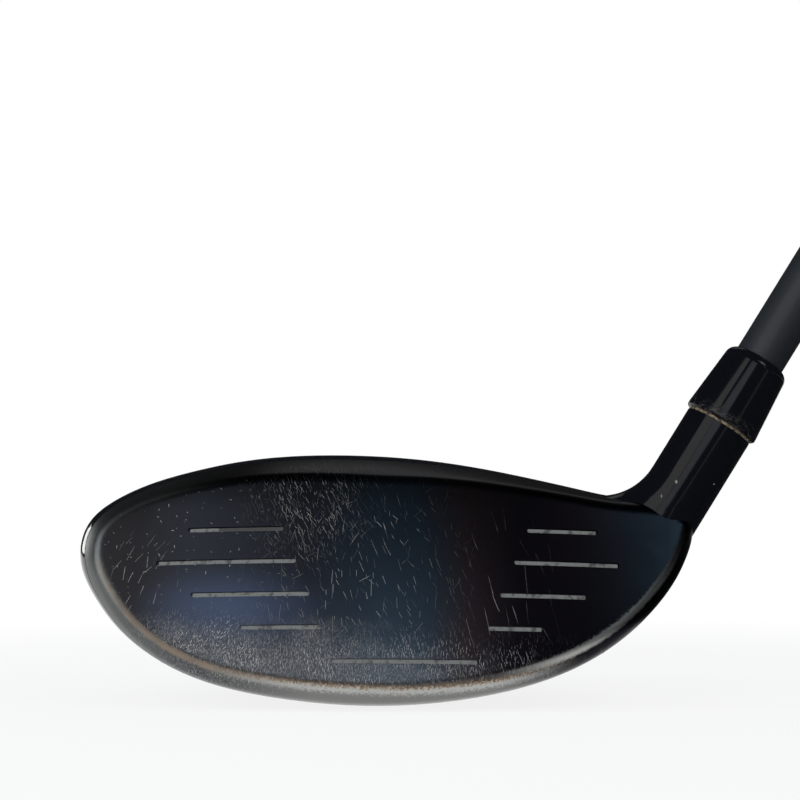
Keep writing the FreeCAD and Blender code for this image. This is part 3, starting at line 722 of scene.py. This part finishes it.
# ------------------------------------------------------------------ operators
class CLUB_OT_stage(bpy.types.Operator):
    """Floor, soft lights, dark cards and the camera"""
    bl_idname = "club.stage"
    bl_label = "Stage"

    HEAD = (-0.01, 0.0, 0.04)
    GRIP = (0.4, 0.0, 0.65)
    # name, place, what it points at, width and height, watts, tint
    LAMPS = [
        ("key", (-0.70, -0.95, 0.62), HEAD, (0.65, 0.80), 3.6, (1.0, 0.98, 0.96)),
        ("window", (-0.85, -0.18, 0.26), HEAD, (0.22, 0.60), 1.9, (0.84, 0.92, 1.0)),
        ("strip", (0.60, -0.80, 0.40), HEAD, (0.04, 0.60), 0.25, (0.80, 0.88, 1.0)),
        ("front", (-0.15, -1.25, 0.50), HEAD, (0.60, 0.50), 2.0, (0.93, 0.96, 1.0)),
        ("grip", (1.1, -1.2, 1.3), GRIP, (0.7, 0.7), 6.0, (1.0, 1.0, 1.0)),
        ("toe", (-1.3, 1.5, 0.30), HEAD, (0.6, 0.45), 3.6, (0.96, 1.0, 0.98)),
        ("back", (0.2, 1.3, 1.4), HEAD, (1.0, 0.6), 0.7, (1.0, 1.0, 1.0)),
    ]

    def execute(self, context):
        look = context.scene.club_stage
        self.floor(look)
        self.world(context.scene)
        for lamp in self.LAMPS:
            self.light(*lamp)
        self.tent()
        self.camera(context.scene, look)
        return {"FINISHED"}

    def sheet(self, name, corners, faces, material):
        """A flat piece of the set."""
        mesh = bpy.data.meshes.new(name)
        mesh.from_pydata(corners, [], faces)
        mesh.materials.append(material)
        made = bpy.data.objects.new(name, mesh)
        bpy.context.scene.collection.objects.link(made)
        return made

    def floor(self, look):
        """Paper that is plain white far from the club and takes its shadow close by."""
        f = Finish("floor_paper")
        f.set(Base_Color=f.mix(f.noise(3.0), look.floor, shaded(look.floor, 1.02)))
        f.set(Roughness=0.8, Specular_IOR_Level=0.2)
        path = f.node("ShaderNodeLightPath").outputs
        seen = f.most(path["Is Camera Ray"], path["Is Glossy Ray"], path["Is Transmission Ray"])
        near, far, least = 0.12, 0.36, 0.85
        away = f.span(f.vector("LENGTH", f.place), near, far, least, 1.0)
        white = f.node("ShaderNodeEmission")
        white.inputs["Color"].default_value = (1, 1, 1, 1)
        both = f.node("ShaderNodeMixShader")
        f.put(both.inputs[0], f.product(seen, away))
        f.tree.links.new(f.shader.outputs[0], both.inputs[1])
        f.tree.links.new(white.outputs[0], both.inputs[2])
        f.put(f.tree.nodes["Material Output"].inputs["Surface"], both.outputs[0])
        half, gap = 6.0, 0.2 * MM
        level = CAD_BOX[0][2] - gap
        corners = [(-half, -half, level), (half, -half, level), (half, half, level), (-half, half, level)]
        self.sheet("floor", corners, [(0, 1, 2, 3)], f.material)

    def world(self, scene):
        """White where it is seen, dimmer and cooler where it lights."""
        world = bpy.data.worlds.new("studio")
        scene.world = world
        world.use_nodes = True
        nodes, links = world.node_tree.nodes, world.node_tree.links
        shown = nodes["Background"]
        shown.inputs["Color"].default_value = (1, 1, 1, 1)
        shown.inputs["Strength"].default_value = 1.0
        dim = nodes.new("ShaderNodeBackground")
        dim.inputs["Color"].default_value = (0.9, 0.95, 1.0, 1)
        dim.inputs["Strength"].default_value = 0.45
        path = nodes.new("ShaderNodeLightPath")
        seen = path.outputs["Is Camera Ray"]
        for other in ("Is Glossy Ray", "Is Transmission Ray"):
            either = nodes.new("ShaderNodeMath")
            either.operation = "MAXIMUM"
            links.new(seen, either.inputs[0])
            links.new(path.outputs[other], either.inputs[1])
            seen = either.outputs[0]
        pick = nodes.new("ShaderNodeMixShader")
        links.new(seen, pick.inputs[0])
        links.new(dim.outputs[0], pick.inputs[1])
        links.new(shown.outputs[0], pick.inputs[2])
        links.new(pick.outputs[0], nodes["World Output"].inputs["Surface"])

    def light(self, name, place, target, size, power, tint):
        """A soft lamp turned to its target."""
        data = bpy.data.lights.new(name, "AREA")
        data.shape = "RECTANGLE"
        data.size, data.size_y = size
        data.energy = power
        data.color = tint
        lamp = bpy.data.objects.new(name, data)
        lamp.location = place
        lamp.rotation_euler = (Vector(target) - Vector(place)).to_track_quat("-Z", "Y").to_euler()
        bpy.context.scene.collection.objects.link(lamp)

    def tent(self):
        """Dark cloth round the set, and on the floor at the heel's side."""
        sides, radius, bottom, top = 12, 2.6, 0.02, 2.62
        low, high = [], []
        for i in range(sides):
            angle = 2 * math.pi * i / sides
            low.append((radius * math.cos(angle), radius * math.sin(angle), bottom))
            high.append((radius * math.cos(angle), radius * math.sin(angle), top))
        walls = [(i, i + sides, (i - 1) % sides + sides, (i - 1) % sides) for i in range(sides)]
        roof = tuple(range(sides, 2 * sides))
        f = Finish("dark_cloth")
        f.set(Base_Color=f.mix(f.noise(2.0), (0.020, 0.020, 0.022), (0.03, 0.03, 0.032)))
        f.set(Roughness=1.0)
        self.cloth("dark_tent", low + high, walls + [roof], f.material)
        near, far, half, level = 0.035, 1.5, 0.9, 0.0005
        corners = [(near, -half, level), (far, -half, level), (far, half, level), (near, half, level)]
        self.cloth("dark_card", corners, [(0, 1, 2, 3)], f.material)

    def cloth(self, name, corners, faces, material):
        """A sheet that shows in reflections only."""
        made = self.sheet(name, corners, faces, material)
        for kind in ("camera", "diffuse", "shadow", "transmission"):
            setattr(made, "visible_" + kind, False)

    def camera(self, scene, look):
        data = bpy.data.cameras.new("camera")
        data.sensor_width = 36
        data.lens = look.focal_length
        data.clip_start = 0.01
        data.clip_end = 50
        camera = bpy.data.objects.new("camera", data)
        camera.location = (look.camera_side, -look.camera_distance, look.camera_height)
        camera.rotation_euler = (math.radians(90) + look.camera_tilt, 0, 0)
        scene.collection.objects.link(camera)
        scene.camera = camera
        scene.view_settings.view_transform = "Standard"


class CLUB_OT_head_shells(bpy.types.Operator):
    """Painted body and crown, and the coated face cup"""
    bl_idname = "club.head_shells"
    bl_label = "Head shells"

    def execute(self, context):
        # centre along the face and up it, half width and half height
        chips = [(23.0, 40.4, 0.32, 0.45), (30.1, 40.0, 0.2, 0.2), (20.3, 37.8, 0.15, 0.45)]
        paint = gloss_black(context.scene.club_paint, "head_gloss_black", 0.03, chips)
        finished(merged_copy("body_shell"), "painted_body", "head", paint, ["body_shell"])
        finished(merged_copy("crown"), "painted_crown", "head", paint, ["crown"])
        face = face_material(context.scene.club_face)
        finished(merged_copy("face_cup"), "coated_face_cup", "head", face, ["face_cup"])
        return {"FINISHED"}


class CLUB_OT_score_lines(bpy.types.Operator):
    """Grey paint in the face's score lines"""
    bl_idname = "club.score_lines"
    bl_label = "Score lines"

    # height above the face centre, and both ends of a line from it, in millimetres
    ROWS = [
        (12.5, -38.9, -22.4), (12.5, 22.4, 34.3), (6.4, -44.4, -20.0), (6.4, 20.0, 38.1),
        (0.3, -37.8, -17.4), (0.3, 17.4, 32.0), (-5.8, -28.7, -15.2), (-5.8, 15.2, 23.9),
        (-11.9, -12.4, 12.4),
    ]

    def execute(self, context):
        look = context.scene.club_score_lines
        tilt = Matrix.Rotation(-look.tilt, 3, FACE_NORMAL)
        along = tilt @ Vector((1, 0, 0))
        up_face = FACE_NORMAL.cross(along).normalized()
        lean = Matrix((along, up_face, FACE_NORMAL)).transposed().to_euler()
        places = [
            FACE_CENTRE + along * (start + end) / 2 * MM + up_face * height * MM
            for height, start, end in self.ROWS
        ]
        points = point_mesh(
            "score_points", places,
            turn=[tuple(lean)] * len(places),
            reach=[(end - start) * MM + look.width for _, start, end in self.ROWS],
        )
        mesh = grown(points, score_tree(score_paint(look)), "score_line_paint", {
            "Width": look.width,
            "Paint Radius": look.ball_radius - look.depth,
            "Ball Centre": FACE_CENTRE - FACE_NORMAL * look.ball_radius,
        })
        finished(mesh, "score_line_paint", "head", None)
        return {"FINISHED"}


class CLUB_OT_adapter(bpy.types.Operator):
    """Collar, its seal ring, sleeve, insert and the hosel screw"""
    bl_idname = "club.adapter"
    bl_label = "Shaft adapter"

    def execute(self, context):
        foot = along_shaft("collar")[0]
        scuffed = (foot + 1.5 * MM, foot + 4.5 * MM)
        gloss = gloss_black(
            context.scene.club_paint, "collar_gloss_black", chipped=0.05, scuffed=scuffed
        )
        paint_nodes(gloss, "collar")
        paint_nodes(seal_material(), "collar_seal")
        paint_nodes(metal("anodised_sleeve", (0.18, 0.18, 0.20), 0.35), "adapter_sleeve")
        steel = metal("plated_steel", (0.30, 0.30, 0.32), 0.3)
        paint_nodes(steel, "thread_insert", "hosel_screw", "hosel_screw_washer", "rear_weight_screw")
        return {"FINISHED"}


class CLUB_OT_inner_pieces(bpy.types.Operator):
    """Weights, damper, inlay and seals"""
    bl_idname = "club.inner_pieces"
    bl_label = "Weights and inlay"

    def execute(self, context):
        paint_nodes(metal("turned_weight", (0.38, 0.38, 0.40), 0.3), "rear_weight")
        paint_nodes(metal("heavy_metal", (0.25, 0.25, 0.26), 0.5), "sole_weight")
        paint_nodes(soft("butyl", (0.05, 0.05, 0.05), 0.8), "sound_damper", "rear_weight_seal")
        paint_nodes(soft("satin_inlay", (0.030, 0.032, 0.040), 0.35, 3000.0, 0.2), "sole_inlay")
        return {"FINISHED"}


class CLUB_OT_shaft(bpy.types.Operator):
    """Lacquer of the shaft and the plug inside its tip"""
    bl_idname = "club.shaft"
    bl_label = "Shaft"

    def execute(self, context):
        paint_nodes(shaft_material(context.scene.club_shaft), "shaft")
        paint_nodes(soft("tip_foam", (0.6, 0.6, 0.58), 0.9), "tip_plug")
        return {"FINISHED"}


class CLUB_OT_grip(bpy.types.Operator):
    """Rubber grip with raised pads, its cap and tape"""
    bl_idname = "club.grip"
    bl_label = "Grip"

    def execute(self, context):
        look = context.scene.club_grip
        rubber = soft("grip_rubber", tuple(look.rubber), 0.75, 2500.0, 0.5)
        paint_nodes(rubber, "grip", "grip_cap")
        paint_nodes(soft("paper_tape", (0.6, 0.57, 0.45), 0.9), "grip_tape")
        low, high = along_shaft("grip")
        bare_mouth, bare_butt, flare = 26 * MM, 12 * MM, 18 * MM
        start, end = low + bare_mouth, high - bare_butt
        neck, butt = 10.0 * MM, 13.2 * MM
        cross = math.radians(35)
        places, turns = [], []
        for row in range(look.rows):
            height = start + (end - start) * row / (look.rows - 1)
            radius = neck + (butt - neck) * (height - low - flare) / (high - low - flare)
            for step in range(look.around):
                angle = 2 * math.pi * (step + 0.5 * (row % 2)) / look.around
                out = Vector((math.cos(angle), math.sin(angle), 0))
                local = out * radius + height * UPRIGHT
                side = UPRIGHT.cross(out)
                twist = Matrix.Rotation(cross if row % 2 else -cross, 3, out)
                pad_turn = Matrix((twist @ side, twist @ UPRIGHT, out)).transposed()
                places.append(SHAFT_TURN @ local)
                turns.append(tuple((SHAFT_TURN.to_3x3() @ pad_turn).to_euler()))
        points = point_mesh("pad_points", places, turn=turns)
        mesh = grown(points, grip_tree(rubber), "grip_pads", {
            "Pad Length": look.pad_length, "Pad Width": look.pad_width, "Pad Height": look.pad_height,
        })
        finished(mesh, "grip_pads", "shaft_assembly", None)
        return {"FINISHED"}


class CLUB_PT_panel(bpy.types.Panel):
    """Sidebar panel that lists the club's operators"""
    bl_label = "Hybrid club"
    bl_idname = "CLUB_PT_panel"
    bl_space_type = "VIEW_3D"
    bl_region_type = "UI"
    bl_category = "Club"

    def draw(self, context):
        for operator in OPERATORS:
            self.layout.operator(operator.bl_idname)


GROUPS = {
    "club_face": FaceFinish,
    "club_score_lines": ScoreLines,
    "club_paint": Paint,
    "club_shaft": ShaftFinish,
    "club_grip": GripPattern,
    "club_stage": Stage,
}
OPERATORS = [
    CLUB_OT_stage,
    CLUB_OT_head_shells,
    CLUB_OT_score_lines,
    CLUB_OT_adapter,
    CLUB_OT_inner_pieces,
    CLUB_OT_shaft,
    CLUB_OT_grip,
]


def register():
    for name, group in GROUPS.items():
        bpy.utils.register_class(group)
        setattr(bpy.types.Scene, name, PointerProperty(type=group))
    for operator in OPERATORS:
        bpy.utils.register_class(operator)
    bpy.utils.register_class(CLUB_PT_panel)


def unregister():
    bpy.utils.unregister_class(CLUB_PT_panel)
    for operator in reversed(OPERATORS):
        bpy.utils.unregister_class(operator)
    for name, group in reversed(list(GROUPS.items())):
        delattr(bpy.types.Scene, name)
        bpy.utils.unregister_class(group)


def main():
    """Register the add-on and run every operator once."""
    register()
    for operator in OPERATORS:
        group, name = operator.bl_idname.split(".")
        getattr(getattr(bpy.ops, group), name)()


if __name__ == "__main__":
    main()
